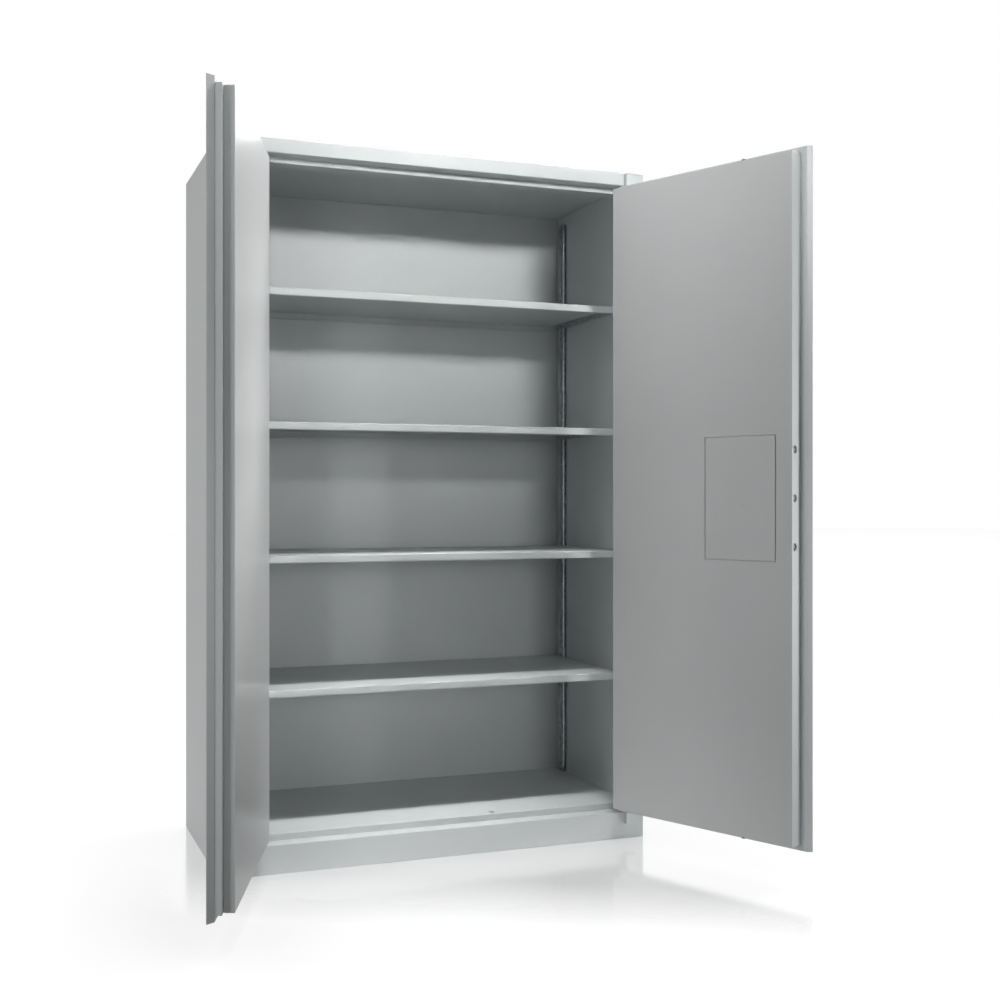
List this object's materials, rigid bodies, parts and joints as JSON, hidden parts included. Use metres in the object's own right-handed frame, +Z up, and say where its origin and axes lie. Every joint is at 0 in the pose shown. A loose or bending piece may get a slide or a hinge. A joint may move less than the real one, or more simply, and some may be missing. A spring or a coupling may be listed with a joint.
{
  "type": "steel office cabinet",
  "caption": "Tall two-door steel office cabinet with recessed stepped doors standing open, adjustable tray shelves and a bolt lock with lever handle and rods in the right door.",
  "frame": {"origin": "centre of the carcass underside, on the floor", "axes": "+Z up; the open front faces -Y; +X to the right as seen from the front"},
  "size_m": [1.5686, 1.0962, 1.95],
  "materials": {
    "powder_coat": "light grey satin powder coat on sheet steel",
    "zinc_plate": "zinc-plated steel",
    "satin_chrome": "satin chrome",
    "nickelled_brass": "nickel-plated brass"
  },
  "bodies": {
    "carcass": {"frame_top_rail": "powder_coat", "frame_sill": "powder_coat", "frame_stile_left": "powder_coat", "frame_stile_right": "powder_coat", "side_wall_left": "powder_coat", "side_wall_right": "powder_coat", "top_panel": "powder_coat", "back_panel": "powder_coat", "floor_panel": "powder_coat", "base_plinth": "powder_coat", "top_stop": "powder_coat", "side_stop_left": "powder_coat", "side_stop_right": "powder_coat", "upright_left_front": "zinc_plate", "upright_left_rear": "zinc_plate", "upright_right_front": "zinc_plate", "upright_right_rear": "zinc_plate", "shelf_1": "powder_coat", "shelf_2": "powder_coat", "shelf_3": "powder_coat", "shelf_4": "powder_coat", "bearer_left_1": "zinc_plate", "bearer_left_2": "zinc_plate", "bearer_left_3": "zinc_plate", "bearer_left_4": "zinc_plate", "bearer_right_1": "zinc_plate", "bearer_right_2": "zinc_plate", "bearer_right_3": "zinc_plate", "bearer_right_4": "zinc_plate", "hinge_block_left_top": "powder_coat", "hinge_block_left_bottom": "powder_coat", "hinge_block_right_top": "powder_coat", "hinge_block_right_bottom": "powder_coat", "hinge_pin_left_top": "zinc_plate", "hinge_pin_left_bottom": "zinc_plate", "hinge_pin_right_top": "zinc_plate", "hinge_pin_right_bottom": "zinc_plate"},
    "left_door": {"left_door_plate": "powder_coat", "left_door_step": "powder_coat", "left_door_inner": "powder_coat", "door_barrel_left_top": "powder_coat", "door_barrel_left_bottom": "powder_coat"},
    "right_door": {"right_door_plate": "powder_coat", "right_door_inner": "powder_coat", "lock_cover": "powder_coat", "door_barrel_right_top": "powder_coat", "door_barrel_right_bottom": "powder_coat", "handle_rosette": "satin_chrome", "key_cylinder": "nickelled_brass"},
    "handle": {"lever_hub": "satin_chrome", "lever_arm": "satin_chrome", "lock_spindle": "zinc_plate"},
    "plug": {"key_plug": "nickelled_brass"},
    "side_bolts": {"bolt_bar": "zinc_plate", "side_bolt_1": "zinc_plate", "side_bolt_2": "zinc_plate", "side_bolt_3": "zinc_plate"},
    "upper_rod": {"top_rod": "zinc_plate"},
    "lower_rod": {"bottom_rod": "zinc_plate"}
  },
  "joints": [
    {"name": "left_door_swing", "type": "hinge", "parent": "carcass", "child": "left_door", "pos_m": [-0.5805, -0.275, 0.9945], "axis": [0, 0, 1], "range_deg": [-39.4, 110.6]},
    {"name": "right_door_swing", "type": "hinge", "parent": "carcass", "child": "right_door", "pos_m": [0.5805, -0.275, 0.9945], "axis": [0, 0, 1], "range_deg": [-115.8, 34.2]},
    {"name": "handle_turn", "type": "hinge", "parent": "right_door", "child": "handle", "pos_m": [0.73902, -0.66265, 0.978], "axis": [-0.9003, -0.4352, 0], "range_deg": [0, 90]},
    {"name": "key_turn", "type": "hinge", "parent": "right_door", "child": "plug", "pos_m": [0.73902, -0.66265, 1.063], "axis": [-0.9003, -0.4352, 0], "range_deg": [0, 90]},
    {"name": "side_bolts_throw", "type": "slide", "parent": "right_door", "child": "side_bolts", "axis": [0.4352, -0.9003, 0], "range_m": [0, 0.058]},
    {"name": "top_rod_throw", "type": "slide", "parent": "right_door", "child": "upper_rod", "axis": [0, 0, 1], "range_m": [0, 0.025]},
    {"name": "bottom_rod_throw", "type": "slide", "parent": "right_door", "child": "lower_rod", "axis": [0, 0, -1], "range_m": [0, 0.025]}
  ],
  "couplings": [
    {"joint": "side_bolts_throw", "follows": "handle_turn", "m_per_rad": 0.03692},
    {"joint": "top_rod_throw", "follows": "handle_turn", "m_per_rad": 0.01591},
    {"joint": "bottom_rod_throw", "follows": "handle_turn", "m_per_rad": 0.01591}
  ]
}
